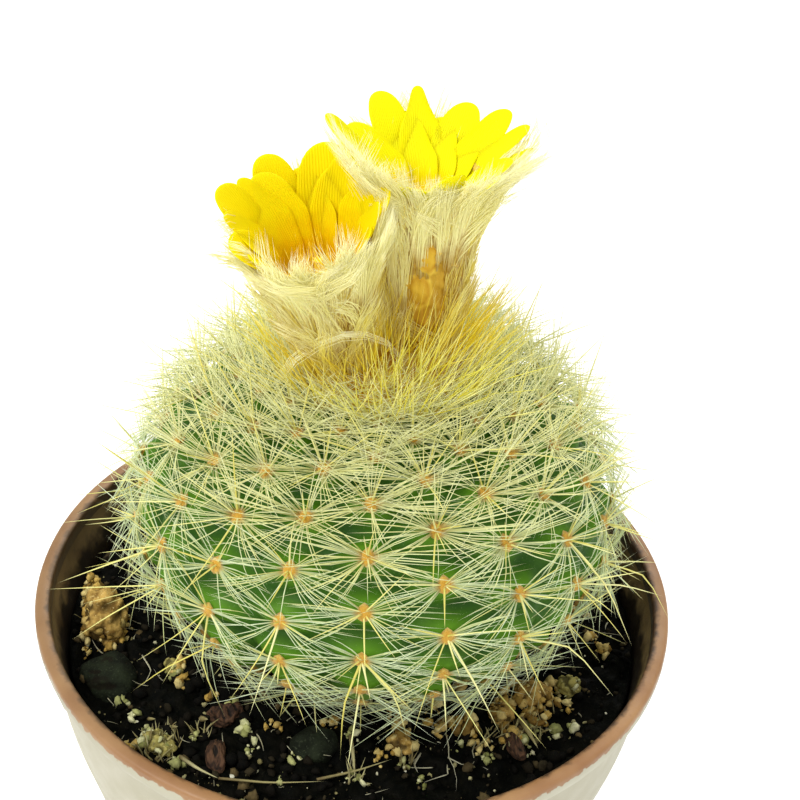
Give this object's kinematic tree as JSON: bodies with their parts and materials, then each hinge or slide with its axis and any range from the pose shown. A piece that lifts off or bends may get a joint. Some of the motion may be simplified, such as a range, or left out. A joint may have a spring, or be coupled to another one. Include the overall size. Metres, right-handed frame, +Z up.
{
  "type": "potted round cactus",
  "caption": "Round ribbed cactus with dense spines and yellow flowers on woolly tubes, rooted in soil in a small tapered pot with a rolled lip.",
  "frame": {"origin": "centre of the pot's flat base, on the surface that the pot stands on", "axes": "+Z up along the pot's axis; the picture looks along +Y, so -Y is the front and +X the right"},
  "size_m": [0.0852, 0.0855, 0.1325],
  "materials": {
    "pot": "satin moulded plastic, terracotta brown lip and paler wall",
    "soil": "rough, damp and dark, with fine pale bits",
    "cactus": "waxy green skin under pale yellow spines",
    "wool": "matte cream wool and golden bristles",
    "petals": "silky lemon yellow, golden in the shade",
    "stamens": "pale yellow, powdery",
    "crumb": "tan, granular and dry",
    "stone": "dark grey-green, slightly rough",
    "bark": "brown, fibrous and matte"
  },
  "bodies": {
    "root": {"pot": "pot", "soil": "soil", "cactus_body": "cactus", "crown_wool": "wool", "left_flower_tube": "wool", "left_flower_petals": "petals", "left_flower_centre": "stamens", "right_flower_tube": "wool", "right_flower_petals": "petals", "right_flower_centre": "stamens", "tan_clump_left": "crumb", "stone_left": "stone", "stone_front": "stone", "bark_front_left": "bark", "bark_front": "bark", "tan_clump_right": "crumb", "tan_crumb_right": "crumb", "tan_crumb_front": "crumb", "tan_crumb_near_body": "crumb", "bark_right": "bark", "grey_crumb_right": "crumb", "tan_crumb_left": "crumb", "moss_front_left": "crumb"}
  },
  "joints": []
}
